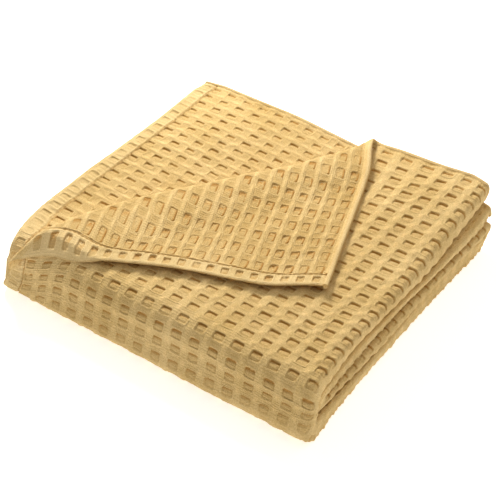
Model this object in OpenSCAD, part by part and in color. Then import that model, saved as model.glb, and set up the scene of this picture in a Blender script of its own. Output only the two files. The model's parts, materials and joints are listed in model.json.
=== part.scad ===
// Folded throw blanket: one woven cotton cloth with hemmed sides, folded into quarters
// both ways, so sixteen plies lie in four panels, with one corner of the top ply turned back.
// X runs along the spine, Y from the spine to the free ends, Z up. The origin is the centre
// of the footprint, on the surface that the blanket lies on.

/* [Folded size] */
// Width along the spine
folded_w = 360; // [300:5:420]
// Depth from the spine to the free ends
folded_d = 337; // [290:1:400]

/* [Cloth] */
// Thickness of the cloth over its relief
cloth_t = 4; // [3:0.1:5]
// Air between one ply and the next
ply_gap = 0.17; // [0.1:0.01:0.3]
// Width of the hem along each side of the cloth
side_hem_w = 18.5; // [12:0.5:26]
// Width of the rolled hem along each end of the cloth
end_hem_w = 4.5; // [3:0.5:8]

/* [Turned-back corner] */
// Where the crease meets the hemmed side, measured from the spine's outermost line
crease_left_y = 15.5; // [14:0.5:40]
// Where the crease meets the free end, measured from the hemmed side
crease_back_x = 229; // [160:1:240]
// Thickness of the turned-back corner, which lies pressed flat
flap_t = 3.4; // [2.5:0.1:3.6]

/* [Clearance] */
// Gap between the opening half and the spine that it bends from
hinge_gap = 0.3; // [0.2:0.05:0.5]
// Gap between the turned-back corner and the ply under it
flap_gap = 0.3; // [0.2:0.05:0.5]
// How far the plain fold stands in from the hems on the hemmed side
fold_inset = 3; // [1:0.5:6]

/* [Hidden] */
$fn = 64;

pitch = cloth_t + ply_gap;
panel_plies = 4;
// Panels from the floor up, each with the cloth's outer ply above (1) or below (-1)
BOTTOM = 0;
LOWER_INNER = 1;
UPPER_INNER = 2;
TOP = 3;
FACING = [-1, 1, -1, 1];
// Plies of a panel, counted from the cloth's outer ply
OUTER = 0;
SECOND = 1;
THIRD = 2;
FOURTH = 3;

x_hem = -folded_w / 2;
outer_fold_r = 2 * pitch - ply_gap / 2;
inner_fold_r = pitch - ply_gap / 2;
x_turn = folded_w / 2 - outer_fold_r;
x_ply = x_hem + side_hem_w;
x_middle = x_hem + fold_inset + inner_fold_r;
spine_z = 2 * panel_plies * pitch - ply_gap / 2;
spine_r = 6 * pitch;
inner_spine_r = 2 * pitch;
spine_y = -folded_d / 2 + spine_z;
back_z = panel_plies * pitch - ply_gap / 2;
back_r = 2 * pitch;
back_y = folded_d / 2 - back_z;
y_end = folded_d / 2;
y_end_hem = y_end - end_hem_w;
top_z = 2 * spine_z;
crease_a = [x_hem, -folded_d / 2 + crease_left_y];
crease_b = [x_hem + crease_back_x, y_end];
crease_run = crease_b - crease_a;
crease_len = norm(crease_run);
crease_angle = atan2(crease_run[1], crease_run[0]);
crease_r = (flap_t + cloth_t + flap_gap) / 2;
// Clearance of the cut corner and the turned-back corner from the crease line
crease_clear = 0.6;
// How far a cutting outline runs past the cloth
past = 40;

function mid_z(panel) = (panel_plies * panel + 2) * pitch - ply_gap / 2;
function ply_low(ply) = (1 - ply) * pitch + ply_gap / 2;
function hem_side(ply) = ply == OUTER || ply == SECOND;
function ply_x(ply) = hem_side(ply) ? x_ply : x_middle;

// Cross-sections of the folded strip: first axis away from the strip's middle, second axis X

module band(ply, x0, x1, facing) {
    translate([facing > 0 ? ply_low(ply) : -ply_low(ply) - cloth_t, x0])
        square([cloth_t, x1 - x0]);
}

module ply_section(ply, facing) {
    band(ply, ply_x(ply), x_turn, facing);
}

module hem_section(ply, facing) {
    band(ply, x_hem, x_ply, facing);
}

module half_ring(r_out, r_in) {
    intersection() {
        difference() {
            circle(r_out);
            if (r_in > 0) circle(r_in);
        }
        translate([-r_out - 1, 0])
            square([2 * r_out + 2, r_out + 1]);
    }
}

module outer_edge_section() {
    translate([0, x_turn])
        half_ring(outer_fold_r, outer_fold_r - cloth_t);
}

module inner_edge_section() {
    translate([0, x_turn])
        half_ring(inner_fold_r, 0);
}

module middle_section(facing) {
    translate([-facing * pitch, x_middle])
        mirror([0, 1])
            half_ring(inner_fold_r, 0);
}

// Sweeps of a cross-section: straight through a panel, or half a turn round a fold across X

module through_panel(panel, y0, y1) {
    translate([0, y0, mid_z(panel)])
        rotate([-90, -90, 0])
            linear_extrude(y1 - y0)
                children();
}

module through_turn(y, z, r) {
    translate([0, y, z])
        rotate([0, 90, 0])
            rotate_extrude(angle = 180)
                translate([r, 0])
                    children();
}

module round_spine() {
    translate([0, spine_y, 0])
        mirror([0, 1, 0])
            through_turn(0, spine_z, spine_r)
                children();
}

module round_inner_spine() {
    translate([0, spine_y, 0])
        mirror([0, 1, 0])
            through_turn(0, spine_z, inner_spine_r)
                children();
}

module round_back_fold() {
    through_turn(back_y, back_z, back_r)
        children();
}

function y_start(panel) = panel >= UPPER_INNER ? spine_y + hinge_gap : spine_y;
function y_stop(panel) = panel >= UPPER_INNER ? y_end_hem : back_y;

module along(panel) {
    through_panel(panel, y_start(panel), y_stop(panel))
        children();
}

module along_to_end(panel) {
    through_panel(panel, y_start(panel), panel >= UPPER_INNER ? y_end : back_y)
        children();
}

// Sub-parts that repeat in every panel

module ply(panel, number) {
    color("gold")
        along(panel)
            ply_section(number, FACING[panel]);
}

module outer_edge_fold(panel) {
    color("goldenrod")
        along_to_end(panel)
            outer_edge_section();
}

module inner_edge_fold(panel) {
    color("darkgoldenrod")
        along_to_end(panel)
            inner_edge_section();
}

module middle_fold(panel) {
    color("darkgoldenrod")
        along_to_end(panel)
            middle_section(FACING[panel]);
}

module side_hem(panel, number) {
    color("khaki")
        along_to_end(panel)
            hem_section(number, FACING[panel]);
}

module side_hems(panel) {
    side_hem(panel, OUTER);
    side_hem(panel, SECOND);
}

module end_hem(panel, number) {
    color("palegoldenrod")
        through_panel(panel, y_end_hem, y_end)
            ply_section(number, FACING[panel]);
}

module end_hems(panel) {
    for (number = [OUTER : FOURTH])
        end_hem(panel, number);
}

// The turned-back corner: the region beyond the crease, and its mirror image over the crease

module beyond_crease(margin) {
    translate(crease_a)
        rotate(crease_angle)
            translate([-past, margin])
                square([crease_len + 2 * past, folded_w]);
}

module corner_area() {
    intersection() {
        beyond_crease(crease_clear);
        translate([x_hem, spine_y + hinge_gap])
            square([folded_w, y_end - spine_y - hinge_gap]);
    }
}

module over_crease() {
    translate(crease_a)
        rotate(crease_angle)
            mirror([0, 1])
                rotate(-crease_angle)
                    translate(-crease_a)
                        children();
}

module flap_plate() {
    translate([0, 0, top_z + flap_gap])
        linear_extrude(flap_t)
            over_crease()
                intersection() {
                    corner_area();
                    children();
                }
}

module cut_corner() {
    difference() {
        children();
        translate([0, 0, top_z - pitch])
            linear_extrude(2 * pitch)
                beyond_crease(-crease_clear);
    }
}

module top_outer_ply() {
    cut_corner()
        ply(TOP, OUTER);
}

module top_end_hems() {
    cut_corner()
        end_hem(TOP, OUTER);
    for (number = [SECOND : FOURTH])
        end_hem(TOP, number);
}

module spine_cover() {
    color("gold")
        round_spine()
            ply_section(OUTER, 1);
}

module spine_plies() {
    color("gold")
        for (number = [SECOND : FOURTH])
            round_spine()
                ply_section(number, 1);
}

module spine_edge_folds() {
    color("goldenrod") {
        round_spine()
            outer_edge_section();
        round_spine()
            inner_edge_section();
    }
}

module spine_middle_fold() {
    color("darkgoldenrod")
        round_spine()
            middle_section(1);
}

module spine_side_hems() {
    color("khaki")
        for (number = [OUTER : SECOND])
            round_spine()
                hem_section(number, 1);
}

module inner_spine_plies() {
    color("gold")
        for (number = [OUTER : FOURTH])
            round_inner_spine()
                ply_section(number, -1);
}

module inner_spine_edge_folds() {
    color("goldenrod") {
        round_inner_spine()
            outer_edge_section();
        round_inner_spine()
            inner_edge_section();
    }
}

module inner_spine_middle_fold() {
    color("darkgoldenrod")
        round_inner_spine()
            middle_section(-1);
}

module inner_spine_side_hems() {
    color("khaki")
        for (number = [OUTER : SECOND])
            round_inner_spine()
                hem_section(number, -1);
}

module back_fold_cover() {
    color("gold")
        round_back_fold()
            ply_section(OUTER, 1);
}

module back_fold_plies() {
    color("gold")
        for (number = [SECOND : FOURTH])
            round_back_fold()
                ply_section(number, 1);
}

module back_fold_edge_folds() {
    color("goldenrod") {
        round_back_fold()
            outer_edge_section();
        round_back_fold()
            inner_edge_section();
    }
}

module back_fold_middle_fold() {
    color("darkgoldenrod")
        round_back_fold()
            middle_section(1);
}

module back_fold_side_hems() {
    color("khaki")
        for (number = [OUTER : SECOND])
            round_back_fold()
                hem_section(number, 1);
}

module flap_ply() {
    color("gold")
        flap_plate()
            translate([x_ply, -folded_d / 2])
                square([folded_w, y_end_hem + folded_d / 2]);
}

module flap_side_hem() {
    color("khaki")
        flap_plate()
            translate([x_hem, -folded_d / 2])
                square([side_hem_w, folded_d]);
}

module flap_end_hem() {
    color("palegoldenrod")
        flap_plate()
            translate([x_ply, y_end_hem])
                square([folded_w, end_hem_w]);
}

module flap_crease() {
    color("goldenrod")
        intersection() {
            translate([crease_a[0], crease_a[1], top_z + flap_gap / 2])
                rotate([0, 0, crease_angle])
                    rotate([90, 0, 90])
                        linear_extrude(crease_len + past)
                            translate([crease_clear, 0])
                                half_disc(crease_r - flap_gap);
            translate([x_hem, spine_y + hinge_gap, 0])
                cube([folded_w, y_end - spine_y - hinge_gap, 2 * top_z]);
        }
}

module half_disc(r) {
    intersection() {
        circle(r);
        translate([0, -r - 1])
            square([r + 1, 2 * r + 2]);
    }
}

top_outer_ply();
ply(TOP, SECOND);  // top_second_ply
ply(TOP, THIRD);  // top_third_ply
ply(TOP, FOURTH);  // top_fourth_ply
outer_edge_fold(TOP);  // top_outer_edge_fold
inner_edge_fold(TOP);  // top_inner_edge_fold
middle_fold(TOP);  // top_middle_fold
side_hem(TOP, SECOND);  // top_side_hem
top_end_hems();
ply(UPPER_INNER, OUTER);  // upper_inner_first_ply
ply(UPPER_INNER, SECOND);  // upper_inner_second_ply
ply(UPPER_INNER, THIRD);  // upper_inner_third_ply
ply(UPPER_INNER, FOURTH);  // upper_inner_fourth_ply
outer_edge_fold(UPPER_INNER);  // upper_inner_outer_edge_fold
inner_edge_fold(UPPER_INNER);  // upper_inner_inner_edge_fold
middle_fold(UPPER_INNER);  // upper_inner_middle_fold
side_hems(UPPER_INNER);  // upper_inner_side_hems
end_hems(UPPER_INNER);  // upper_inner_end_hems
ply(LOWER_INNER, OUTER);  // lower_inner_first_ply
ply(LOWER_INNER, SECOND);  // lower_inner_second_ply
ply(LOWER_INNER, THIRD);  // lower_inner_third_ply
ply(LOWER_INNER, FOURTH);  // lower_inner_fourth_ply
outer_edge_fold(LOWER_INNER);  // lower_inner_outer_edge_fold
inner_edge_fold(LOWER_INNER);  // lower_inner_inner_edge_fold
middle_fold(LOWER_INNER);  // lower_inner_middle_fold
side_hems(LOWER_INNER);  // lower_inner_side_hems
ply(BOTTOM, OUTER);  // bottom_outer_ply
ply(BOTTOM, SECOND);  // bottom_second_ply
ply(BOTTOM, THIRD);  // bottom_third_ply
ply(BOTTOM, FOURTH);  // bottom_fourth_ply
outer_edge_fold(BOTTOM);  // bottom_outer_edge_fold
inner_edge_fold(BOTTOM);  // bottom_inner_edge_fold
middle_fold(BOTTOM);  // bottom_middle_fold
side_hems(BOTTOM);  // bottom_side_hems
spine_cover();
spine_plies();
spine_edge_folds();
spine_middle_fold();
spine_side_hems();
inner_spine_plies();
inner_spine_edge_folds();
inner_spine_middle_fold();
inner_spine_side_hems();
back_fold_cover();
back_fold_plies();
back_fold_edge_folds();
back_fold_middle_fold();
back_fold_side_hems();
flap_ply();
flap_side_hem();
flap_end_hem();
flap_crease();
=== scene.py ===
# A folded waffle throw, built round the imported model. Every length is in metres.
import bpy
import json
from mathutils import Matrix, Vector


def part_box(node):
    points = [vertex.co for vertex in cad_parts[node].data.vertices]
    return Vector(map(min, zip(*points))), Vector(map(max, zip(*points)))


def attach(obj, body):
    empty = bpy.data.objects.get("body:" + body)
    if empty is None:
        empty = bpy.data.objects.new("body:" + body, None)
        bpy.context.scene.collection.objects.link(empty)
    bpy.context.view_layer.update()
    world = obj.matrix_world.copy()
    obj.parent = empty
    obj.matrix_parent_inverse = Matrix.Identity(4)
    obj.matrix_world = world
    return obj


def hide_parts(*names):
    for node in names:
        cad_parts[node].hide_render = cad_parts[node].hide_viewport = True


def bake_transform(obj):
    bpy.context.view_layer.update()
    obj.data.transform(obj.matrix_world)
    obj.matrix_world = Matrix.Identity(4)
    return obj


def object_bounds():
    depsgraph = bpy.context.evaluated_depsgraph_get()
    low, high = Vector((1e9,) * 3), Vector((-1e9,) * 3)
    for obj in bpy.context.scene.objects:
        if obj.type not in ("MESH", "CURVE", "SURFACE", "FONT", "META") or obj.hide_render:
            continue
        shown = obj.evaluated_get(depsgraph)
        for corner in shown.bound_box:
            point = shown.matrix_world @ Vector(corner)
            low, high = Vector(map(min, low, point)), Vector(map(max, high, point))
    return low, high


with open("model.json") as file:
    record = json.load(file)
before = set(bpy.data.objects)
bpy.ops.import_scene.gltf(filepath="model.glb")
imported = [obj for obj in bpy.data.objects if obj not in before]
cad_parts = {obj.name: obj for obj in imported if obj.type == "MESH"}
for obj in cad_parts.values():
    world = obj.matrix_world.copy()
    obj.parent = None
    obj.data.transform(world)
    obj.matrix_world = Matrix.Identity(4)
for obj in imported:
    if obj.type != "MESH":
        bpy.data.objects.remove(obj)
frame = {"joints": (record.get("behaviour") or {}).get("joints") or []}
FIRST_BOX = [list(corner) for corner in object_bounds()]

import json
import math

import bpy
import numpy as np
from mathutils import Matrix, Vector

MM = 0.001
RNG = np.random.default_rng(20)
JITTER_REPEAT = (97, 89)  # cells each way before the pockets' unevenness repeats
CREASING_REPEAT = (130, 126)  # and steps before the swells do
JITTER = RNG.uniform(-1, 1, (*JITTER_REPEAT, 6))
CREASING = RNG.uniform(-1, 1, (2, CREASING_REPEAT[0] + 1, CREASING_REPEAT[1] + 1))

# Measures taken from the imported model
LOW, HIGH = [np.array(c) for c in FIRST_BOX]
OUTER = [np.array(c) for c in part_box("top_outer_ply")]
SECOND = [np.array(c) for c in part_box("top_second_ply")]
SPINE = [np.array(c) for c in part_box("spine_cover")]
BACK = [np.array(c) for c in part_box("back_fold_cover")]
MIDDLE = [np.array(c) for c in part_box("top_middle_fold")]

HALF = (OUTER[1][2] - OUTER[0][2]) / 2  # half the cloth's thickness
PITCH = OUTER[1][2] - SECOND[1][2]  # one ply and its gap
X_HEM = LOW[0]
X_PLY = SECOND[0][0]
X_TURN = SECOND[1][0]
X_MIDDLE = MIDDLE[1][0]
Y_END = HIGH[1]
Y_END_HEM = SECOND[1][1]
SPINE_Y = SPINE[1][1]
SPINE_Z = (SPINE[0][2] + SPINE[1][2]) / 2
BACK_Y = BACK[0][1]
TOP_Z = OUTER[1][2]
SIDE_HEM = X_PLY - X_HEM
END_HEM = Y_END - Y_END_HEM

# The woven lattice
CELL_U = 20.57 * MM
CELL_V = 14.6 * MM
FIRST_U = 25.0 * MM
FIRST_V = 13.5 * MM
DEEPEST = 2.9 * MM  # so that a pocket's floor stays above the cloth's other face
BACKING = [-0.5, -0.28, -0.22, 0, 0.22, 0.25]  # grid lines in a cell, on the hidden face of a woven piece
FINE = [-0.5, -0.42, -0.355, -0.315, -0.28, -0.25, -0.21, -0.11, 0,
        0.11, 0.21, 0.25, 0.28, 0.315, 0.355, 0.42]  # and on a face that shows

# The relief of each face of the cloth. "flap" is face B where the corner is turned back.
POCKET_DEPTH = {"A": 2.7 * MM, "B": 2.6 * MM, "flap": 2.6 * MM}
POCKET_SIZE = {"A": 0.262, "B": 0.24, "flap": 0.27}  # half a pocket, in cells
BAND_DEPTH = {"A": 0.42 * MM, "B": 0.55 * MM, "flap": 0.9 * MM}  # the weave between the raised bands
SHALLOW = {"A": 0.95 * MM, "B": 0.95 * MM, "flap": 1.15 * MM}  # the shallow side of a pocket's floor
SINK_FROM = {"A": 0.12, "B": 0.12, "flap": -0.05}  # where the floor starts to sink
FLOOR_EDGE = {"A": 0.45 * MM, "B": 0.45 * MM, "flap": 0.15 * MM}  # how far it sinks beside the walls
LEAN = {"A": (-0.1, -1.0), "B": (0.1, -1.0), "flap": (1.0, 0.2)}  # towards the deep side of a pocket
HEM_POCKET_DEPTH = {"A": 0.9 * MM, "B": 0.8 * MM, "flap": 2.3 * MM}
STITCH_ROWS = {"A": (1.6 * MM, 4.4 * MM), "B": (1.6 * MM, 4.4 * MM), "flap": (3.6 * MM, 6.4 * MM)}
HEM_POCKET_U = 9.2 * MM  # middle of the side hem's pockets, from its free edge
HEM_SEAM_U = 17.4 * MM  # and its seam
END_STITCH = 2.6 * MM  # stitch length in the end hems
PROUD = 0.8 * MM  # how far the flap's rolled end stands up
SUNK_DEPTH = 2.5 * MM  # depth at which the painted shade in the weave is deepest

# Grid steps across a hem or round a fold: on a hidden face, and on one that shows
HEM_STEPS = (4, 26)
FOLD_STEPS = (8, 24)
END_STEPS = 8


# ---------------- the folding paths
def make_path(start, steps):
    """A flat path from start, heading along the first axis, made of (length, turn) steps."""
    rows = []
    x, y, heading, run = start[0], start[1], 0.0, 0.0
    for length, turn in steps:
        curve = turn / length
        rows.append((run, x, y, heading, curve, length))
        if curve:
            x += (math.sin(heading + turn) - math.sin(heading)) / curve
            y += (math.cos(heading) - math.cos(heading + turn)) / curve
        else:
            x += length * math.cos(heading)
            y += length * math.sin(heading)
        heading += turn
        run += length
    return np.array(rows)


def follow(path, run, off):
    """The points at a distance run along the path and off to its left."""
    k = np.clip(np.searchsorted(path[:, 0], run, side="right") - 1, 0, len(path) - 1)
    start, x, y, heading, curve = [path[k, i] for i in range(5)]
    turned = heading + curve * (run - start)
    safe = np.where(curve == 0, 1.0, curve)
    arc_x = x + (np.sin(turned) - np.sin(heading)) / safe
    arc_y = y + (np.cos(heading) - np.cos(turned)) / safe
    line_x = x + (run - start) * np.cos(heading)
    line_y = y + (run - start) * np.sin(heading)
    px = np.where(curve == 0, line_x, arc_x) - off * np.sin(turned)
    py = np.where(curve == 0, line_y, arc_y) + off * np.cos(turned)
    return px, py


HALF_TURN = math.pi
ACROSS = make_path((X_HEM, 1.5 * PITCH), [
    (SIDE_HEM, 0), (X_TURN - X_PLY, 0), (1.5 * PITCH * math.pi, -HALF_TURN),
    (X_TURN - X_MIDDLE, 0), (0.5 * PITCH * math.pi, -HALF_TURN),
    (X_TURN - X_MIDDLE, 0), (0.5 * PITCH * math.pi, HALF_TURN),
    (X_TURN - X_PLY, 0), (SIDE_HEM, 0)])
TOP_MID = TOP_Z - HALF - 1.5 * PITCH
ALONG = make_path((-Y_END, TOP_MID), [
    (Y_END - SPINE_Y, 0), (6 * PITCH * math.pi, -HALF_TURN),
    (BACK_Y - SPINE_Y, 0), (2 * PITCH * math.pi, -HALF_TURN),
    (BACK_Y - SPINE_Y, 0), (2 * PITCH * math.pi, HALF_TURN),
    (Y_END - SPINE_Y, 0)])
U = list(ACROSS[:, 0]) + [ACROSS[-1, 0] + ACROSS[-1, 5]]
V = list(ALONG[:, 0]) + [ALONG[-1, 0] + ALONG[-1, 5]]
TURN_RADIUS = {1: 6 * PITCH, 3: 2 * PITCH, 5: -2 * PITCH}  # spine, back fold and inner spine


def run_marks(n):
    """The cloth's own length at each mark of V, for a ply at height n in its panel."""
    lengths = [V[i + 1] - V[i] for i in range(7)]
    for segment, radius in ((1, 6), (3, 2)):
        lengths[segment] *= (radius * PITCH + n) / (radius * PITCH)
    lengths[5] *= (2 * PITCH - n) / (2 * PITCH)
    return np.concatenate([[0], np.cumsum(lengths)])


def cloth_run(v, n):
    """The cloth's own length from its free end at path length v."""
    return np.interp(v, V, run_marks(n))


# ---------------- small helpers
def smooth(t):
    """Rises from 0 to 1 as t does, level at both ends."""
    t = np.clip(t, 0, 1)
    return t * t * (3 - 2 * t)


def creasing(u, w, size, table):
    """Uneven swells of one size, from -1 to 1."""
    a, b = u / size, w / size
    ia, ib = np.floor(a).astype(int), np.floor(b).astype(int)
    fa, fb = smooth(a - ia), smooth(b - ib)
    ia, ib = ia % CREASING_REPEAT[0], ib % CREASING_REPEAT[1]
    low = table[ia, ib] * (1 - fa) + table[ia + 1, ib] * fa
    high = table[ia, ib + 1] * (1 - fa) + table[ia + 1, ib + 1] * fa
    return low * (1 - fb) + high * fb


def lines(start, end, cell, first, parts):
    """Grid lines from start to end that repeat with the lattice, closer together beside an end hem."""
    k0 = math.floor((start - first) / cell) - 1
    k1 = math.ceil((end - first) / cell) + 1
    marks = [first + (k + part) * cell for k in range(k0, k1 + 1) for part in parts]
    least = 0.25 * MM
    inside = [m for m in marks if start + least < m < end - least]
    if abs(start - END_HEM) < least and len(parts) > 2:
        hem = [start + k * 0.8 * MM for k in range(1, 11)]
        inside = hem + [m for m in inside if m > hem[-1] + least]
    return np.array([start] + inside + [end])


# ---------------- the woven relief
def cell_of(u, w):
    """Place of each point in its lattice cell, from -0.5 to 0.5 each way, and its cell's numbers."""
    a = (u - FIRST_U) / CELL_U
    b = (w - FIRST_V) / CELL_V
    ia, ib = np.round(a).astype(int), np.round(b).astype(int)
    return a - ia, b - ib, ia, ib


def jitter(ia, ib):
    """Six numbers from -1 to 1 for each lattice cell."""
    return JITTER[ia % JITTER_REPEAT[0], ib % JITTER_REPEAT[1]]


def pocket(fa, fb, noise, size):
    """1 in the pocket's floor, 0 outside, the distance from the centre in pocket sizes, and the place."""
    a = (fa - 0.022 * noise[..., 0]) / (size * (1 + 0.06 * noise[..., 1]))
    b = (fb - 0.022 * noise[..., 2]) / (size * (1 + 0.06 * noise[..., 3]))
    m = (np.abs(a) ** 6 + np.abs(b) ** 6) ** (1 / 6)
    return 1 - smooth((m - 0.94) / 0.13), m, a, b


def waffle(u, w, face):
    """Depth below the cloth's highest level over the open weave."""
    fa, fb, ia, ib = cell_of(u, w)
    noise = jitter(ia, ib)
    deep = POCKET_DEPTH[face] * (1 + 0.15 * noise[..., 4])
    inside, m, a, b = pocket(fa, fb, noise, POCKET_SIZE[face])
    side = np.abs(fa) if face == "A" else np.abs(fb)
    band = smooth((side - 0.31) / 0.13)
    outside = 0.2 * MM + BAND_DEPTH[face] * (1 - band)
    puff = 0.3 * MM * np.cos(2 * math.pi * fa) * np.cos(2 * math.pi * fb)
    towards = a * LEAN[face][0] + b * LEAN[face][1]
    rim_up = 0.6 * MM * np.exp(-((m - 1.2) / 0.13) ** 2) * (1 - 0.6 * smooth(towards / 0.6))
    back = smooth((towards - SINK_FROM[face]) / 0.72)
    edge = FLOOR_EDGE[face] * smooth((m - 0.75) / 0.2)
    floor_depth = SHALLOW[face] + (deep - SHALLOW[face]) * back + edge
    return (outside - rim_up - puff) * (1 - inside) + floor_depth * inside


def hem_relief(u, w, face):
    """Depth over the wide side hem, u from its free edge: pockets, clear or faint, its seam and puckers."""
    fb = (w - FIRST_V) / CELL_V
    ib = np.round(fb).astype(int)
    noise = jitter(ib * 7, ib)
    a = 1.06 * (u - HEM_POCKET_U) / CELL_U
    inside, m, a, b = pocket(a, fb - ib, noise, 0.24)
    back = smooth((a * LEAN[face][0] + b * LEAN[face][1] + 0.1) / 0.9)
    ghost = HEM_POCKET_DEPTH[face] * (1 + 0.25 * noise[..., 4]) * (0.5 + 0.5 * back)
    rim_up = 0.2 * MM * np.exp(-((m - 1.2) / 0.14) ** 2)
    seam = 1.6 * MM * np.exp(-((u - HEM_SEAM_U) / (0.7 * MM)) ** 2)
    wave = np.sin(2 * math.pi * w / (5.1 * MM) + 5 * noise[..., 5])
    pucker = 0.26 * MM * (1 + wave) * smooth(u / (16 * MM))
    roll = 1.3 * MM * (1 - smooth(u / (2.4 * MM))) ** 2
    return 0.25 * MM + ghost * inside - rim_up * (1 - inside) + seam + pucker + roll


def end_relief(v, along, kind):
    """Depth over a narrow rolled end hem, v from its free edge: plain with stitches, or a proud tube."""
    if kind == "tube":
        t = np.clip(1 - v / (0.55 * END_HEM), 0, 1)
    else:
        t = np.clip((v / END_HEM - 0.5) / 0.5, -1, 1)
    round_off = HALF * (1 - np.sqrt(np.clip(1 - 0.9 * t * t, 0, 1)))
    if kind == "tube":
        return round_off + 0.1 * MM - PROUD * (1 - t * t)
    stitches = 0.16 * MM * np.sin(2 * math.pi * along / END_STITCH) ** 2 * (1 - t * t)
    return round_off + stitches + 0.1 * MM - 0.1 * MM * (1 - t * t)


def beside_end_hem(relief, u, near, face):
    """Adds the rows of stitches at a distance near from an end hem, and the side of the flap's tube."""
    tube = (1 - smooth((near - 1.8 * MM) / (1.2 * MM))) * (face == "flap")
    relief = relief * (1 - tube) - (PROUD - 0.1 * MM) * tube
    tufts = 0.55 + 0.45 * np.cos(2 * math.pi * u / (CELL_U / 5))
    for row in STITCH_ROWS[face]:
        relief = relief + 0.9 * MM * np.exp(-((near - row) / (0.75 * MM)) ** 2) * tufts
    return relief


def ripple(u, w):
    """Unevenness of soft washed cloth, slow and fine, from about -0.3 to 1.2 mm."""
    a = np.sin(u / (31 * MM) + 1.3 * np.sin(w / (47 * MM)))
    b = np.sin(w / (27 * MM) + 1.1 * np.sin(u / (39 * MM)) + 2)
    coarse = creasing(u, w, 7.3 * MM, CREASING[0])
    fine = creasing(u, w, 3.7 * MM, CREASING[1])
    return 0.1 * MM * (2 + a + b) / 2 + MM * (0.42 * (0.5 + coarse) + 0.28 * (0.5 + fine))


def depth(points, kind, face, n):
    """Depth of the surface below its nominal face at (u, v) points of a patch, and the weave's part of it,
    which sets the painted shade.
    """
    u, v = points[:, 0], points[:, 1]
    w = cloth_run(v, n)
    if kind in ("end", "tube"):
        near = np.where(v < V[1], v, V[-1] - v)
        relief = end_relief(near, u, kind)
        # The second value only sets the painted shade, a little deeper over the end hems.
        return relief, relief + 0.3 * MM
    if kind == "hem":
        left = u < U[1] + 1e-9
        relief = hem_relief(np.where(left, u, U[-1] - u), w, face)
    elif kind == "plain":
        relief = 0.5 * MM + 0 * u
    else:
        relief = waffle(u, w, face)
        relief = beside_end_hem(relief, u, np.minimum(v, V[-1] - v) - END_HEM, face)
    return np.minimum(relief + ripple(u, w), DEEPEST), relief


# ---------------- meshes
def grid(us, vs):
    """A flat grid over the cloth: its (u, v) points and its faces."""
    points = np.stack(np.meshgrid(us, vs), -1).reshape(-1, 2)
    ids = np.arange(len(us) * len(vs)).reshape(len(vs), len(us))
    faces = np.stack([ids[:-1, :-1], ids[:-1, 1:], ids[1:, 1:], ids[1:, :-1]], -1)
    return points, [tuple(f) for f in faces.reshape(-1, 4).tolist()]


def clip(points, faces, side):
    """The part of a flat grid where side, one number for each point, is not negative."""
    points = [tuple(p) for p in points]
    kept, made = [], {}

    def cut(i, j):
        key = (min(i, j), max(i, j))
        if key not in made:
            a, b = key
            share = side[a] / (side[a] - side[b])
            made[key] = len(points)
            points.append(tuple(points[a][k] + (points[b][k] - points[a][k]) * share for k in (0, 1)))
        return made[key]

    inside = side >= 0
    for face in faces:
        state = [inside[i] for i in face]
        if all(state):
            kept.append(face)
        elif any(state):
            poly = []
            for k, i in enumerate(face):
                j = face[(k + 1) % len(face)]
                if inside[i]:
                    poly.append(i)
                if inside[i] != inside[j]:
                    poly.append(cut(i, j))
            kept.append(tuple(poly))
    used = sorted({i for face in kept for i in face})
    new = {old: k for k, old in enumerate(used)}
    return np.array([points[i] for i in used]), [tuple(new[i] for i in f) for f in kept]


def rim(points, faces):
    """The boundary loop of a flat grid, closed, with the share of its length at each point."""
    follows = {}
    for face in faces:
        for k, i in enumerate(face):
            follows[(i, face[(k + 1) % len(face)])] = True
    step = {i: j for i, j in follows if (j, i) not in follows}
    corner = min(step, key=lambda i: (round(points[i][0] + points[i][1], 7), points[i][0]))
    loop = [corner]
    while len(loop) <= len(step):
        loop.append(step[loop[-1]])
        if loop[-1] == corner:
            break
    away = np.linalg.norm(np.diff(points[loop], axis=0), axis=1)
    return loop, np.concatenate([[0], np.cumsum(away)]) / away.sum()


def stitch(first, at_first, second, at_second):
    """Triangles that join two closed loops."""
    faces, i, j = [], 0, 0
    while i < len(first) - 1 or j < len(second) - 1:
        if j == len(second) - 1 or (i < len(first) - 1 and at_first[i + 1] <= at_second[j + 1] + 1e-7):
            faces.append((first[i], first[i + 1], second[j]))
            i += 1
        else:
            faces.append((first[i], second[j + 1], second[j]))
            j += 1
    return faces


def slab(a_sheet, b_sheet, place_a, place_b, marks):
    """A closed piece of cloth from two flat grids of one outline, which place_a and place_b put in space:
    its points, faces, flat points, sharp edges, depths in the weave and flat size."""
    (pa, fa), (pb, fb) = a_sheet, b_sheet
    count = len(pa)
    loop_a, at_a = rim(pa, fa)
    loop_b, at_b = rim(pb, fb)
    loop_b = [i + count for i in loop_b]
    wall = stitch(loop_a, at_a, loop_b, at_b)
    faces = [tuple(reversed(f)) for f in fa] + [tuple(i + count for i in f) for f in fb] + wall
    flat = np.concatenate([pa, pb])
    sharp = list(zip(loop_a, loop_a[1:])) + list(zip(loop_b, loop_b[1:]))
    spots, sunk = zip(place_a(pa), place_b(pb))
    return np.concatenate(spots), faces, flat, sharp, np.concatenate(sunk), flat_cut(pa, fa, marks)


def by_size(faces):
    """The faces in arrays, one for each number of corners."""
    for size in (3, 4, 5):
        same = np.array([f for f in faces if len(f) == size])
        if len(same):
            yield size, same


def flat_cut(points, faces, marks):
    """The width, length and area that a flat grid has in the cloth before it is folded."""
    lying = np.stack([points[:, 0], np.interp(points[:, 1], V, marks)], -1)
    area = 0.0
    for _, same in by_size(faces):
        x, y = lying[same, 0], lying[same, 1]
        area += np.abs((x * np.roll(y, -1, 1) - y * np.roll(x, -1, 1)).sum(1)).sum() / 2
    return (*np.ptp(lying, axis=0), area)


def signed_volume(points, faces):
    """The volume inside a closed mesh, negative if its faces look inwards."""
    total = 0.0
    for size, same in by_size(faces):
        for k in range(1, size - 1):
            a, b, c = points[same[:, 0]], points[same[:, k]], points[same[:, k + 1]]
            total += (a * np.cross(b, c)).sum() / 6
    return total


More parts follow.
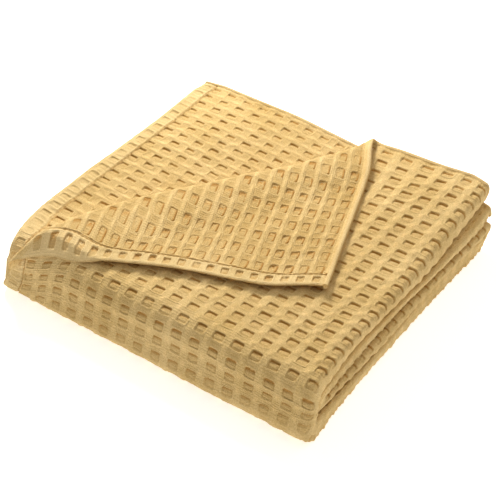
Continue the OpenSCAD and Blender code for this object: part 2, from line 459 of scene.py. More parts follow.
def mark_sharp(mesh, sharps):
    """Keeps the given edges crisp under smooth shading."""
    count = len(mesh.vertices)
    ends = np.empty(len(mesh.edges) * 2, int)
    mesh.edges.foreach_get("vertices", ends)
    ends = np.sort(ends.reshape(-1, 2), axis=1)
    wanted = np.array([(min(e), max(e)) for e in sharps])
    marks = np.isin(ends[:, 0] * count + ends[:, 1], wanted[:, 0] * count + wanted[:, 1])
    attribute = mesh.attributes.new("sharp_edge", "BOOLEAN", "EDGE")
    attribute.data.foreach_set("value", marks)


def lay_cloth_map(mesh, flat, sunk):
    """Gives the mesh the cloth's own coordinates, and how deep each point lies in the weave."""
    corner = np.empty(len(mesh.loops), int)
    mesh.loops.foreach_get("vertex_index", corner)
    layer = mesh.uv_layers.new(name="cloth")
    layer.data.foreach_set("uv", flat[corner].ravel())
    # The depth is kept so that the material can paint shade into the pockets.
    sunken = mesh.attributes.new("sunk", "FLOAT", "POINT")
    sunken.data.foreach_set("value", sunk / SUNK_DEPTH)


CUTS = {}  # each piece's flat width, length and area, part by part


def make_piece(name, parts, material):
    """One object from closed parts, each as slab() gives it."""
    points, faces, flats, sharps, sunks, base = [], [], [], [], [], 0
    CUTS[name] = [part[5] for part in parts]
    for p, f, flat, sharp, sunk, _ in parts:
        if signed_volume(p, f) < 0:
            f = [tuple(reversed(face)) for face in f]
        points.append(p)
        flats.append(flat)
        sunks.append(sunk)
        faces += [tuple(i + base for i in face) for face in f]
        sharps += [(i + base, j + base) for i, j in sharp]
        base += len(p)
    mesh = bpy.data.meshes.new(name)
    mesh.from_pydata(np.concatenate(points).tolist(), [], faces)
    mesh.polygons.foreach_set("use_smooth", [True] * len(mesh.polygons))
    mark_sharp(mesh, sharps)
    lay_cloth_map(mesh, np.concatenate(flats), np.concatenate(sunks))
    mesh.materials.append(material)
    obj = bpy.data.objects.new(name, mesh)
    bpy.context.collection.objects.link(obj)
    return obj


# ---------------- the shape of the stack
def squared(turn, power):
    """How much further out a squared circle lies than a round one, at an angle."""
    c, s = np.abs(np.cos(turn)), np.abs(np.sin(turn))
    return (c ** power + s ** power) ** (-1 / power)


BEND_STEPS = 360
STEPS = np.linspace(0, 1, BEND_STEPS + 1)


def bend_profile(power_top, power_low):
    """A half turn from top to bottom, out and up at equal steps of its length, for radius 1."""
    turn = np.linspace(0, math.pi, 2 * BEND_STEPS + 1)
    far = np.where(turn < math.pi / 2, squared(turn, power_top), squared(turn, power_low))
    out, up = far * np.sin(turn), far * np.cos(turn)
    run = np.concatenate([[0], np.cumsum(np.hypot(np.diff(out), np.diff(up)))])
    even = np.linspace(0, run[-1], BEND_STEPS + 1)
    return np.interp(even, run, out), np.interp(even, run, up)


LEFT_BEND = bend_profile(2.2, 5.5)
RIGHT_BEND = bend_profile(2.9, 8.0)


def round_spine(x, share):
    """The spine's outline at x, for a share of its turn from the top: out and up, for radius 1."""
    right = smooth((x + 150 * MM) / (260 * MM))
    left_out, left_up = [np.interp(share, STEPS, c) for c in LEFT_BEND]
    right_out, right_up = [np.interp(share, STEPS, c) for c in RIGHT_BEND]
    return left_out + (right_out - left_out) * right, left_up + (right_up - left_up) * right


LEVELS = np.array([0, 4, 8, 12, 16]) * PITCH  # the panels' faces in the neat stack
LEVELS_RIGHT = np.array([0, 5.2, 8, 10.8, 16]) * PITCH  # and where its right side has thick outer rolls

# How far each place along the cloth sticks out on the right
SHIFT_MARKS = [0, V[1] * 0.8, V[2] + 20 * MM, V[2] + 150 * MM, V[3] - 90 * MM, V[3], V[4], V[5] - 30 * MM,
               V[6] + 30 * MM, V[7] - 100 * MM, V[7]]
SHIFTS = np.array([-2.5, -2.5, 5, 0.5, 0.5, 7, 7, 0, -2, 1, 6.5]) * MM
CORNER = frame["joints"][[j["name"] for j in frame["joints"]].index("corner_fold")]
HINGE = np.array(CORNER["pos_m"])
ALONG_CREASE = -np.array(CORNER["axis"])[:2]
INTO_PLY = np.array([ALONG_CREASE[1], -ALONG_CREASE[0]])


def near_left(x):
    """1 at the left side of the stack, 0 from 120 mm left of the middle."""
    return smooth((-x - 120 * MM) / (60 * MM))


def into_corner(x, y, start, width):
    """How far a point is into a back corner, which starts at start in x and 145 mm in y."""
    return np.clip((x - start) / width, 0, 1.3) * np.clip((y - 145 * MM) / width, 0, 1.3)


def roll_right(x, y, z, v):
    """Thick outer rolls and uneven edges at the right side, and the back right corner puffed up."""
    right = smooth((x - 40 * MM) / (125 * MM))
    z = z + right * (np.interp(z, LEVELS, LEVELS_RIGHT) - np.clip(z, 0, LEVELS[-1]))
    x = x + np.interp(v, SHIFT_MARKS, SHIFTS) * smooth((x + 80 * MM) / (230 * MM))
    puff = right * smooth((y - 20 * MM) / (140 * MM))
    z = z * (1 + 0.128 * puff)
    y = y + 12 * MM * puff * np.clip(z / TOP_Z, 0, 1)
    return x, y, z, puff


def fill_bare(x, y, z):
    """The stack fuller on the side of the crease that the corner leaves bare."""
    bare = (HINGE[0] - x) * INTO_PLY[0] + (HINGE[1] - y) * INTO_PLY[1]
    full = smooth((bare - 15 * MM) / (85 * MM))
    z = z * (1 + 0.094 * full - 0.03 * np.exp(-((bare - 8 * MM) / (18 * MM)) ** 2))
    y = y + 3 * MM * full * smooth((y - 90 * MM) / (70 * MM))
    x = x - 1.5 * MM * full * smooth((-x - 90 * MM) / (80 * MM))
    x = x - 5 * MM * near_left(x) * smooth(bare / (20 * MM)) * smooth((10 * MM - y) / (90 * MM))
    return x, y, z


def spread_front(x, y, z):
    """The spine's lower part further out in front, and swollen at both ends."""
    low = smooth((40 * MM - z) / (32 * MM)) * smooth((-y - 110 * MM) / (40 * MM))
    y = y - 7.5 * MM * low
    x = x - 6 * MM * near_left(x) * smooth((56 * MM - z) / (24 * MM)) * low ** 0.3
    x = x + 3 * MM * smooth((x - 120 * MM) / (60 * MM)) * low
    swell = smooth((-y - 60 * MM) / (50 * MM)) * smooth((z - 40 * MM) / (20 * MM))
    x = x - 4 * MM * near_left(x) * swell
    return x, y


def round_corners(x, y, z):
    """The two back corners rounded."""
    out = into_corner(x, y, 152 * MM, 28 * MM)
    x = x - 2.5 * MM * out
    y = y - 5 * MM * out * smooth(z / TOP_Z)
    out = into_corner(-x, y, 155 * MM, 25 * MM)
    return x + 4 * MM * out, y - 4 * MM * out


def slow_waves(x, y, z):
    """Slow waves over the top, and along the left and right sides."""
    height = np.clip(z / TOP_Z, 0, 1)
    slow = np.sin(x / (61 * MM) + 0.7) * np.sin(y / (74 * MM) + 1.9)
    slow += 0.6 * np.sin(x / (37 * MM) + y / (51 * MM))
    z = z - 0.9 * MM * height * (1 + slow)
    side = np.sin(y / (43 * MM) + 9 * height) * smooth((np.abs(x) - 100 * MM) / (60 * MM))
    return x + 1.6 * MM * side * np.sign(x), y, z


def settle(x, y, z, v):
    """Lets the neat stack relax."""
    x, y, z, puff = roll_right(x, y, z, v)
    x, y, z = fill_bare(x, y, z)
    x, y = spread_front(x, y, z)
    x, y = round_corners(x, y, z)
    z = z + 1.2 * MM * puff * np.clip(z / TOP_Z, 0, 1)
    return slow_waves(x, y, z)


def place(u, v, h):
    """Where a point of the cloth lies: u across, v along, h above its mid surface towards face A."""
    x, n = follow(ACROSS, u, h)
    past = np.hypot(x - X_TURN, n)
    turn = np.arctan2(n, np.maximum(x - X_TURN, 1e-9))
    far = past * squared(turn, 3.6)
    outside = x > X_TURN
    x = np.where(outside, X_TURN + far * np.cos(turn), x)
    n = np.where(outside, far * np.sin(turn), n)
    q, z = follow(ALONG, v, n)
    y = -q
    for segment, radius in ((1, 6 * PITCH + n), (5, 2 * PITCH - n)):
        share = (v - V[segment]) / (V[segment + 1] - V[segment])
        share = np.clip(share if segment == 1 else 1 - share, 0, 1)
        out, up = round_spine(x, share)
        inside = (v > V[segment]) & (v < V[segment + 1])
        y = np.where(inside, SPINE_Y - radius * out, y)
        z = np.where(inside, SPINE_Z + radius * up, z)
    return np.stack(settle(x, y, z, v), -1)


def placer(kind, face, n):
    """Puts a flat grid on one face of the cloth."""
    sign = 1 if face == "A" else -1

    def put(points):
        deep, weave = depth(points, kind, face, n)
        return place(points[:, 0], points[:, 1], sign * (HALF - deep)), weave
    return put


def face_kind(kind, face, fine):
    """The kind of relief on a face. Open cloth that never shows has no weave."""
    return "plain" if kind == "open" and face not in fine else kind


# The height in its panel, in plies, at which the cloth of each column of U goes round a bend of the stack
COLUMN_HEIGHT = {0: 1.5, 1: 1.5, 2: 1.5, 3: -1.5, 4: -1, 5: -0.5, 6: 0, 7: 0.5, 8: 0.5}


def face_grid(us_range, vs_range, kind, fine, face, marks, fold=False):
    """The flat grid of one face of a piece. fine says which faces show: "A", "B", "AB" or none."""
    if kind in ("end", "tube"):
        return grid(lines(*us_range, END_STITCH, 0, [0, 0.5]), np.linspace(*vs_range, END_STEPS + 1))
    shows = face in fine
    parts = FINE if shows else (BACKING if fine else [-0.5, 0])
    w0, w1 = np.interp(vs_range, V, marks)
    vs = np.interp(lines(w0, w1, CELL_V, FIRST_V, parts), marks, V)
    if fold:
        us = np.linspace(*us_range, FOLD_STEPS[shows] + 1)
    elif kind == "hem":
        us = np.linspace(*us_range, HEM_STEPS[shows] + 1)
    else:
        us = lines(*us_range, CELL_U, FIRST_U, parts)
    return grid(us, vs)


def patch(us_range, vs_range, column, kind, fine):
    """A closed piece of cloth over a range of u, in one column of it, and of v."""
    n = COLUMN_HEIGHT[column] * PITCH
    marks = run_marks(n)
    sheets = [face_grid(us_range, vs_range, kind, fine, face, marks, column in (2, 4, 6)) for face in "AB"]
    placers = [placer(face_kind(kind, face, fine), face, n) for face in "AB"]
    return slab(*sheets, *placers, marks)


# ---------------- the turned-back corner
ROLL = 5.73 * MM  # mid radius of the crease
ROLL_RUN = ROLL * math.pi / 2  # cloth each side of the crease line in the roll
OUTER_MARKS = run_marks(1.5 * PITCH)
CREASE_START = HINGE[:2] - ALONG_CREASE * (HINGE[0] - X_HEM) / ALONG_CREASE[0]
HEM_OUT = np.array([0.3265, -0.945])  # away from the flap, square to its hem
PLATEAU = 4.3 * MM  # the flap's mid surface above the ply's
FLAP_LENGTH = 341 * MM  # the corner's reach along the cloth, which the crease cuts
FLAP_WIDTH = 240 * MM  # and across it
HEM_FOLDED = 321.5 * MM  # length of the side hem that is turned back


def unrolled(points):
    """The outer ply laid flat: x and y of (u, v) points."""
    w = np.interp(points[:, 1], V, OUTER_MARKS)
    return np.stack([X_HEM + points[:, 0], Y_END - w], -1)


def crease_side(points):
    """Distance of (u, v) points from the crease line, positive on the ply."""
    return (unrolled(points) - CREASE_START) @ INTO_PLY


def crease_shift(t):
    """How far the crease lies from its straight line, for a place t along it."""
    inward = -5 * MM + 23 * MM * (1 - smooth(t / (112 * MM))) - 9 * MM * smooth((t - 335 * MM) / (60 * MM))
    inward += 1.5 * MM * np.sin(t / (14 * MM)) * smooth(t / (100 * MM)) * 0.6
    back = -12 * MM * (1 - smooth(t / (90 * MM)))
    return inward[:, None] * INTO_PLY + back[:, None] * ALONG_CREASE


def place_unrolled(flat, height):
    """Where a point of the unrolled outer ply lies, at a height above its mid surface."""
    w = Y_END - flat[:, 1]
    v = np.interp(w, OUTER_MARKS, V)
    v = np.where(w < 0, w, v)
    return place(flat[:, 0] - X_HEM, v, height)


def ply_point(flat):
    """Points of the ply beside the crease, shifted with it."""
    rel = flat - CREASE_START
    t, d = rel @ ALONG_CREASE, rel @ INTO_PLY
    share = (1 - smooth((d - ROLL_RUN) / (70 * MM))) * (1 - smooth(-t / (55 * MM)))
    return flat + crease_shift(t) * share[:, None]


def open_end(t, d):
    """How far the back end of the crease stands open, on the ply's side and in the roll."""
    return 4.6 * MM * smooth((t - 300 * MM) / (80 * MM)) * (1 - smooth((np.abs(d) - 10 * MM) / (55 * MM)))


def roll_height(t):
    """The height of the crease's roll as a share of a plain one's."""
    dip = 0.12 * smooth((t - 8 * MM) / (30 * MM)) * (1 - smooth((t - 60 * MM) / (60 * MM)))
    return 1 - dip - 0.3 * smooth((t - 320 * MM) / (50 * MM))


def flap_mid(flat):
    """The mid surface of the crease and the turned-back corner."""
    rel = flat - CREASE_START
    t, d = rel @ ALONG_CREASE, rel @ INTO_PLY
    angle = np.clip((ROLL_RUN - d) / ROLL, 0, math.pi)
    beyond = np.clip(-ROLL_RUN - d, 0, None)
    inward = np.where(d > -ROLL_RUN, ROLL_RUN - ROLL * np.sin(angle), -d)
    inward = np.where(d > ROLL_RUN, d, inward)
    height = ROLL * (1 - np.cos(angle)) * roll_height(t)
    fall = smooth(beyond / (48 * MM))
    wave = 0.8 * MM * np.sin(t / (23 * MM)) * np.sin(d / (29 * MM) + 1)
    height = height * (1 - fall) + (PLATEAU + 0.8 * MM + wave) * fall
    far = smooth(beyond / (36 * MM))
    along_hem = np.clip((Y_END - flat[:, 1]), 0, None)
    from_start = np.clip(HEM_FOLDED - along_hem, 0, None)
    out = 22 * MM - 9 * MM * smooth((from_start - 60 * MM) / (150 * MM))
    out = out - 13 * MM * smooth((from_start - 255 * MM) / (65 * MM))
    near_hem = 1 - smooth((flat[:, 0] - X_HEM) / (170 * MM))
    lift = 1.6 * MM * np.exp(-(flat[:, 0] - X_HEM) / (16 * MM)) * (1 + 0.5 * np.sin(along_hem / (19 * MM)))
    lift += 2.2 * MM * np.exp(-np.hypot(flat[:, 0] - X_HEM, along_hem) / (30 * MM))
    height = height + lift * fall + open_end(t, d)
    shift = crease_shift(np.clip(t, -30 * MM, None)) * (1 - far)[:, None]
    shift = shift + HEM_OUT * (out * near_hem * far)[:, None]
    spot = CREASE_START + t[:, None] * ALONG_CREASE + inward[:, None] * INTO_PLY + shift
    laid = place_unrolled(spot, height)
    over = np.clip(SPINE_Y - 4 * MM - spot[:, 1], 0, None)
    held = place_unrolled(np.stack([spot[:, 0], spot[:, 1] + over], -1), height)
    held[:, 1] -= over * 0.97
    held[:, 2] -= over * 0.9
    free = smooth((ROLL_RUN - d) / (3 * ROLL_RUN))
    return laid + (held - laid) * free[:, None]


def flap_place(flat, h):
    """Points at h above the crease's or flap's mid surface, towards face A."""
    step = 0.05 * MM
    mid = flap_mid(flat)
    du = flap_mid(flat + [step, 0]) - flap_mid(flat - [step, 0])
    dv = flap_mid(flat + [0, step]) - flap_mid(flat - [0, step])
    normal = np.cross(du, dv)
    normal /= np.linalg.norm(normal, axis=1)[:, None]
    return mid + normal * h[:, None]


def flap_placer(kind, face, on_ply):
    """Puts a flat grid on one face of the ply beside the crease, or of the crease and the corner."""
    sign = 1 if face == "A" else -1

    def put(points):
        side = "flap" if face == "B" and not on_ply else face
        deep, weave = depth(points, kind, side, 1.5 * PITCH)
        flat = unrolled(points)
        if not on_ply:
            in_roll = 1 - smooth((np.abs((flat - CREASE_START) @ INTO_PLY) - ROLL_RUN) / (7 * MM))
            in_roll *= 1 + 0.4 * (1 - smooth(((flat - CREASE_START) @ ALONG_CREASE - 60 * MM) / (50 * MM)))
            deep = deep - 0.55 * in_roll * (deep - 0.6 * MM)
        h = sign * (HALF - deep)
        if on_ply:
            rel = flat - CREASE_START
            return place_unrolled(ply_point(flat), h + open_end(rel @ ALONG_CREASE, rel @ INTO_PLY)), weave
        return flap_place(flat, h), weave
    return put


def flap_patch(us_range, vs_range, kind, fine, keeps, on_ply=False):
    """A closed piece of the outer ply near the crease, cut where any of keeps is negative."""
    sheets = []
    for face in "AB":
        points, faces = face_grid(us_range, vs_range, kind, fine, face, OUTER_MARKS)
        for keep in keeps:
            points, faces = clip(points, faces, keep(points))
        sheets.append((points, faces))
    placers = [flap_placer(face_kind(kind, face, fine), face, on_ply) for face in "AB"]
    return slab(*sheets, *placers, OUTER_MARKS)


def on_ply_side(points):
    """Not negative where the cloth stays on the ply. The next three are for the corner and the crease."""
    return crease_side(points) - ROLL_RUN


def on_flap_side(points):
    return -crease_side(points) - ROLL_RUN


def before_flap(points):
    return crease_side(points) + ROLL_RUN


def before_ply(points):
    return ROLL_RUN - crease_side(points)


# ---------------- materials
def node(tree, kind, **settings):
    made = tree.nodes.new(kind)
    for name, value in settings.items():
        setattr(made, name, value)
    return made


def noise_node(tree, place_at, scale, detail):
    made = node(tree, "ShaderNodeTexNoise")
    made.inputs["Scale"].default_value = scale
    made.inputs["Detail"].default_value = detail
    tree.links.new(place_at.outputs["Object"], made.inputs["Vector"])
    return made


def maths(tree, operation, *values):
    """The result of a maths node. Each value is a socket or a number."""
    made = node(tree, "ShaderNodeMath", operation=operation)
    for socket, value in zip(made.inputs, values):
        if isinstance(value, bpy.types.NodeSocket):
            tree.links.new(value, socket)
        else:
            socket.default_value = value
    return made.outputs["Value"]


def ramp_node(tree, amount, first, last, between=()):
    """A colour for an amount. Each stop is a position and a colour."""
    made = node(tree, "ShaderNodeValToRGB")
    stops = made.color_ramp.elements
    for index, (position, colour) in enumerate((first, last)):
        stops[index].position = position
        stops[index].color = (*colour, 1)
    for position, colour in between:
        stops.new(position).color = (*colour, 1)
    tree.links.new(amount, made.inputs["Fac"])
    return made.outputs["Color"]


def cloth_colour_and_painted_shade(tree, place_at, slub, light, dark):
    """Light and dark slubs, a slow change over the cloth, and painted shade, darker and warmer, down in the
    weave.
    """
    slow = noise_node(tree, place_at, 22, 3)
    level = maths(tree, "SUBTRACT", maths(tree, "MULTIPLY", slow.outputs["Fac"], 0.5), 0.3)
    amount = maths(tree, "MULTIPLY_ADD", slub.outputs["Fac"], 1.15, level)
    cotton = ramp_node(tree, amount, (0.3, dark), (0.72, light))
    # Painted shade: the depth in the weave darkens and warms the colour where the pockets' shade falls.
    sunk = node(tree, "ShaderNodeAttribute", attribute_name="sunk")
    painted_shade = ramp_node(tree, sunk.outputs["Fac"], PAINTED_SHADE_STOPS[0], PAINTED_SHADE_STOPS[-1], PAINTED_SHADE_STOPS[1:-1])
    colour_with_painted_shade = node(tree, "ShaderNodeMix", data_type="RGBA", blend_type="MULTIPLY")
    colour_with_painted_shade.inputs["Factor"].default_value = 1.0
    tree.links.new(painted_shade, colour_with_painted_shade.inputs["B"])
    tree.links.new(cotton, colour_with_painted_shade.inputs["A"])
    return colour_with_painted_shade.outputs["Result"]


def thread_pattern(tree, thread):
    """Two sets of bands that cross, at the threads' distance."""
    uv = node(tree, "ShaderNodeUVMap", uv_map="cloth")
    waves = []
    for direction in ("X", "Y"):
        wave = node(tree, "ShaderNodeTexWave", wave_type="BANDS", bands_direction=direction)
        wave.inputs["Scale"].default_value = 1 / (thread * 6.4)
        wave.inputs["Distortion"].default_value = 1.6
        wave.inputs["Detail"].default_value = 2
        wave.inputs["Detail Scale"].default_value = 1.3
        tree.links.new(uv.outputs["UV"], wave.inputs["Vector"])
        waves.append(wave.outputs["Fac"])
    return maths(tree, "MULTIPLY", *waves)


def cloth_bump(tree, place_at, slub, thread):
    """Threads, slubs and fine wrinkles in the surface."""
    threads = maths(tree, "MULTIPLY_ADD", slub.outputs["Fac"], 0.9, thread_pattern(tree, thread))
    wrinkle = noise_node(tree, place_at, 330, 3)
    surface = maths(tree, "MULTIPLY_ADD", wrinkle.outputs["Fac"], 1.6, threads)
    relief = node(tree, "ShaderNodeBump")
    relief.inputs["Strength"].default_value = 0.9
    relief.inputs["Distance"].default_value = 0.5 * MM
    tree.links.new(surface, relief.inputs["Height"])
    return relief.outputs["Normal"]


def cloth_material(name, light, dark, thread):
    """Soft cotton: woven threads, slubs, slow colour change, and a faint bloom of fibre."""
    material = bpy.data.materials.new(name)
    material.use_nodes = True
    tree = material.node_tree
    tree.nodes.clear()
    out = node(tree, "ShaderNodeOutputMaterial")
    shader = node(tree, "ShaderNodeBsdfPrincipled")
    shader.inputs["Roughness"].default_value = 0.92
    shader.inputs["Specular IOR Level"].default_value = 0.12
    shader.inputs["Sheen Weight"].default_value = 0.10
    shader.inputs["Sheen Roughness"].default_value = 0.55
    shader.inputs["Sheen Tint"].default_value = (1.0, 0.9, 0.68, 1)
    place_at = node(tree, "ShaderNodeTexCoord")
    slub = noise_node(tree, place_at, 900, 4)
    slub.inputs["Roughness"].default_value = 0.65
    tree.links.new(cloth_colour_and_painted_shade(tree, place_at, slub, light, dark), shader.inputs["Base Color"])
    tree.links.new(cloth_bump(tree, place_at, slub, thread), shader.inputs["Normal"])
    tree.links.new(shader.outputs["BSDF"], out.inputs["Surface"])
    return material


# Painted shade over the cloth's own colour, darker and warmer with depth in the weave, as a share of
# SUNK_DEPTH
PAINTED_SHADE_STOPS = [(0.0, (1, 1, 1)), (0.1, (0.92, 0.92, 0.91)), (0.28, (0.88, 0.87, 0.85)),
               (0.5, (0.79, 0.75, 0.67)), (1.0, (0.65, 0.49, 0.31))]
WOVEN = cloth_material("woven_cotton", (0.95, 0.70, 0.335), (0.70, 0.47, 0.165), 0.95 * MM)
HEMMED = cloth_material("hem_cotton", (0.98, 0.74, 0.38), (0.79, 0.56, 0.23), 0.8 * MM)


# ---------------- the pieces
MADE = {}
NARROW = 25 * MM  # narrower strips count as strips beside a wider piece of cloth


def finish_piece(obj, nodes, body=None, radius=None):
    """Hides a piece's CAD nodes and keeps the piece, then ties it to a body, or bakes in its place where it
    goes round a fold.
    """
    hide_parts(*nodes)
    MADE[obj.name] = obj
    if body:
        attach(obj, body)
    elif radius:
        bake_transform(obj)


# Each panel's place in V, its body and its plies from the outside in
PANELS = {
    "top": (0, "upper_half", ("outer", "second", "third", "fourth")),
    "bottom": (2, "lower_half", ("outer", "second", "third", "fourth")),
    "lower_inner": (4, "lower_half", ("first", "second", "third", "fourth")),
    "upper_inner": (6, "upper_half", ("first", "second", "third", "fourth")),
}
PANEL_STRIPS = {"outer_edge_fold": None, "inner_edge_fold": "third_ply", "middle_fold": "fourth_ply",
                "end_hems": "fourth_ply", "side_hems": "second_ply", "side_hem": "second_ply"}
TURN_STRIPS = {
    "spine_outer_hem": "spine_cover", "spine_outer_edge_fold": "spine_cover",
    "spine_middle_fold": "spine_plies_3", "spine_inner_edge_fold": "spine_plies_5",
    "spine_second_hem": "spine_plies_7",
    "back_fold_outer_hem": "back_fold_cover", "back_fold_outer_edge_fold": "back_fold_cover",
    "back_fold_plies_3": "bottom_fourth_ply", "back_fold_plies_5": "bottom_third_ply",
    "back_fold_middle_fold": "bottom_third_ply", "back_fold_inner_edge_fold": "back_fold_plies_7",
    "back_fold_second_hem": "back_fold_plies_7",
    "inner_spine_outer_hem": "lower_inner_first_ply", "inner_spine_plies_1": "lower_inner_first_ply",
    "inner_spine_outer_edge_fold": "inner_spine_plies_3", "inner_spine_middle_fold": "inner_spine_plies_3",
    "inner_spine_inner_edge_fold": "inner_spine_plies_5", "inner_spine_plies_7": "lower_inner_second_ply",
    "inner_spine_second_hem": "lower_inner_second_ply",
    "flap_side_hem": "flap_ply", "flap_end_hem": "flap_ply", "flap_crease": "flap_ply",
}


def host_of(name):
    """The wider piece that a narrow strip is sewn to or goes on into."""
    short = name.removeprefix("cloth_")
    if short in TURN_STRIPS:
        return "cloth_" + TURN_STRIPS[short]
    for panel in PANELS:
        strip = short.removeprefix(panel + "_")
        if strip in PANEL_STRIPS:
            first = "outer_ply" if panel in ("top", "bottom") else "first_ply"
            return f"cloth_{panel}_{PANEL_STRIPS[strip] or first}"
    return None


def declare_sheets():
    """Finds the narrow strips and the wider piece beside each of them."""
    narrow = {name: host_of(name) for name in MADE if min(min(c[:2]) for c in CUTS[name]) < NARROW}
    narrow["cloth_flap_crease"] = host_of("cloth_flap_crease")
    for name, obj in MADE.items():
        if name in narrow:
            continue


PLY_COLUMN = {"outer": 1, "first": 1, "second": 7, "third": 5, "fourth": 3}
FOLDS = {"outer_edge_fold": 2, "inner_edge_fold": 6, "middle_fold": 4}


def panel_range(segment):
    """The part of v in a panel, without a narrow hem at the cloth's end."""
    start, end = V[segment], V[segment + 1]
    if segment == 0:
        start += END_HEM
    if segment == 6:
        end -= END_HEM
    return start, end


def shown_faces(panel, ply):
    """The faces of a ply that can be seen in some pose."""
    if ply in ("outer", "first"):
        return "A"
    if panel == "top" and ply == "second":
        return "B"
    return ""


def build_panel(panel):
    """The four plies of a panel, its folds on both sides and its side hems."""
    segment, body, plies = PANELS[panel]
    run = panel_range(segment)
    for ply in plies:
        column = PLY_COLUMN[ply]
        us = (U[column], U[column + 1])
        fine = shown_faces(panel, ply)
        kind = "open" if fine else "plain"
        if panel == "top" and ply == "outer":
            part = flap_patch(us, run, "open", "A", [on_ply_side], on_ply=True)
        else:
            part = patch(us, run, column, kind, fine)
        obj = make_piece(f"cloth_{panel}_{ply}_ply", [part], WOVEN)
        finish_piece(obj, [f"{panel}_{ply}_ply"], body)
    for fold, column in FOLDS.items():
        fine = "A" if fold != "inner_edge_fold" else ""
        part = patch((U[column], U[column + 1]), run, column, "open" if fine else "plain", fine)
        obj = make_piece(f"cloth_{panel}_{fold}", [part], WOVEN)
        finish_piece(obj, [f"{panel}_{fold}"], body)
    hems = [patch((U[8], U[9]), run, 8, "hem", "B")]
    name = f"{panel}_side_hem"
    if panel != "top":
        hems.append(patch((U[0], U[1]), run, 0, "hem", "A"))
        name += "s"
    obj = make_piece(f"cloth_{name}", hems, HEMMED)
    finish_piece(obj, [name], body)


def build_end_hems():
    """The narrow rolled hems at the cloth's two ends."""
    top = [flap_patch((U[1], U[2]), (0, END_HEM), "end", "AB", [on_ply_side], on_ply=True)]
    top += [patch((U[c], U[c + 1]), (0, END_HEM), c, "end", "AB") for c in range(2, 9)]
    obj = make_piece("cloth_top_end_hems", top, HEMMED)
    finish_piece(obj, ["top_end_hems"], "upper_half")
    inner = [patch((U[c], U[c + 1]), (V[7] - END_HEM, V[7]), c, "end", "AB") for c in range(9)]
    obj = make_piece("cloth_upper_inner_end_hems", inner, HEMMED)
    finish_piece(obj, ["upper_inner_end_hems"], "upper_half")


def build_turn(name, segment, body=None):
    """The cloth round one bend of the stack: the spine, the inner spine or the back fold."""
    run = (V[segment], V[segment + 1])

    def radius(column):
        return None if body else abs(TURN_RADIUS[segment] + COLUMN_HEIGHT[column] * PITCH)

    def add(piece, columns, nodes, kind="plain", fine="", material=WOVEN):
        for column in columns:
            limits = (U[column], U[column + 1])
            if segment == 1 and column in (0, 1):
                part = flap_patch(limits, run, kind, fine, [on_ply_side], on_ply=True)
            else:
                part = patch(limits, run, column, kind, fine)
            tag = f"_{column}" if len(columns) > 1 else ""
            obj = make_piece(f"cloth_{piece}{tag}", [part], material)
            finish_piece(obj, nodes, body, radius(column))

    if segment == 5:
        add(f"{name}_plies", [1, 3, 5, 7], [f"{name}_plies"])
    else:
        add(f"{name}_cover", [1], [f"{name}_cover"], "open", "A")
        add(f"{name}_plies", [3, 5, 7], [f"{name}_plies"])
    add(f"{name}_outer_edge_fold", [2], [f"{name}_edge_folds"], "open", "A")
    add(f"{name}_inner_edge_fold", [6], [f"{name}_edge_folds"])
    add(f"{name}_middle_fold", [4], [f"{name}_middle_fold"], "open", "A")
    add(f"{name}_outer_hem", [0], [f"{name}_side_hems"], "hem", "A", HEMMED)
    add(f"{name}_second_hem", [8], [f"{name}_side_hems"], "hem", "B", HEMMED)


def build_corner():
    """The turned-back corner and its crease."""
    last = float(np.interp(FLAP_LENGTH, OUTER_MARKS, V))
    ply = flap_patch((U[1], FLAP_WIDTH), (END_HEM, last), "open", "AB", [on_flap_side])
    hem = flap_patch((0, U[1]), (END_HEM, last), "hem", "AB", [on_flap_side])
    end = flap_patch((0, FLAP_WIDTH), (0, END_HEM), "tube", "AB", [on_flap_side])
    for name, part, material, slot in (("flap_ply", ply, WOVEN, "woven_cloth"),
                                       ("flap_side_hem", hem, HEMMED, "hem_cloth"),
                                       ("flap_end_hem", end, HEMMED, "hem_cloth")):
        obj = make_piece(f"cloth_{name}", [part], material)
        finish_piece(obj, [name], "corner_flap")
    both = [before_flap, before_ply]
    roll = [flap_patch((U[1], FLAP_WIDTH), (END_HEM, last), "open", "AB", both),
            flap_patch((0, U[1]), (END_HEM, last), "hem", "AB", both),
            flap_patch((U[1], FLAP_WIDTH), (0, END_HEM), "tube", "AB", both)]
    obj = make_piece("cloth_flap_crease", roll, WOVEN)
    finish_piece(obj, ["flap_crease"])
    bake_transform(obj)


for panel_name in PANELS:
    build_panel(panel_name)
build_end_hems()
build_turn("spine", 1)
build_turn("back_fold", 3, body="lower_half")
build_turn("inner_spine", 5)
build_corner()
declare_sheets()


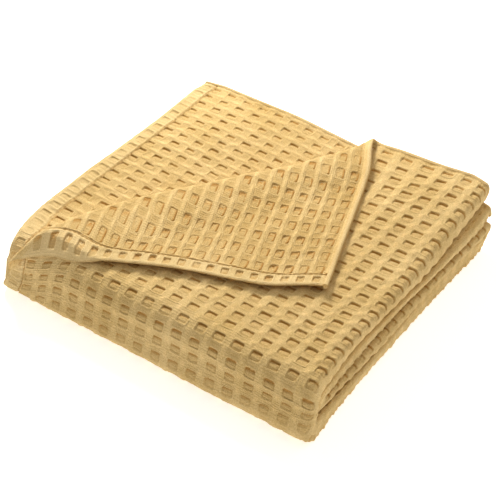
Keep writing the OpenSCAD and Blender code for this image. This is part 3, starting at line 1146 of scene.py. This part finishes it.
# ---------------- floor, light and camera
def floor():
    """A wide pale floor that shines a little, as a photographer's white sweep does."""
    mesh = bpy.data.meshes.new("floor")
    far = 6
    mesh.from_pydata([(-far, -far, 0), (far, -far, 0), (far, far, 0), (-far, far, 0)], [], [(0, 1, 2, 3)])
    obj = bpy.data.objects.new("floor", mesh)
    bpy.context.collection.objects.link(obj)
    material = bpy.data.materials.new("pale_floor")
    material.use_nodes = True
    shader = material.node_tree.nodes["Principled BSDF"]
    shader.inputs["Base Color"].default_value = (0.93, 0.93, 0.92, 1)
    shader.inputs["Roughness"].default_value = 0.9
    shader.inputs["Emission Color"].default_value = (1, 0.99, 0.97, 1)
    shader.inputs["Emission Strength"].default_value = 0.62
    mesh.materials.append(material)


def area_light(name, towards, distance, size, power, colour):
    data = bpy.data.lights.new(name, "AREA")
    data.shape = "DISK"
    data.size = size
    data.energy = power
    data.color = colour
    obj = bpy.data.objects.new(name, data)
    bpy.context.collection.objects.link(obj)
    aim = np.array(towards) / np.linalg.norm(towards)
    obj.location = aim * distance
    obj.rotation_euler = Vector(aim).to_track_quat("Z", "Y").to_euler()


def camera():
    """The photograph's view: a long lens, a little above and to the right of the spine."""
    turn, rise, away = math.radians(35.11), math.radians(41.55), 1.487
    back = Vector((math.sin(turn) * math.cos(rise), -math.cos(turn) * math.cos(rise), math.sin(rise)))
    data = bpy.data.cameras.new("camera")
    data.lens = 103.98
    data.shift_x = -0.0026
    data.shift_y = 0.0327
    data.clip_start = 0.05
    obj = bpy.data.objects.new("camera", data)
    bpy.context.collection.objects.link(obj)
    right = Vector((math.cos(turn), math.sin(turn), 0))
    up = back.cross(right)
    obj.matrix_world = Matrix.Translation(back * away) @ Matrix((right, up, back)).transposed().to_4x4()
    bpy.context.scene.camera = obj


def daylight():
    """Even, slightly warm light from all round."""
    bpy.context.scene.view_settings.view_transform = "Standard"
    world = bpy.data.worlds.new("studio")
    bpy.context.scene.world = world
    world.use_nodes = True
    sky = world.node_tree.nodes["Background"]
    sky.inputs["Color"].default_value = (1, 0.95, 0.87, 1)
    sky.inputs["Strength"].default_value = 0.40


floor()
daylight()
camera()
area_light("key", towards=(-0.80, 0.62, 0.85), distance=1.25, size=0.40, power=18.3, colour=(1, 0.97, 0.92))
area_light("fill", towards=(0.6, 0.5, 1.3), distance=2.0, size=1.6, power=6, colour=(1, 0.98, 0.96))
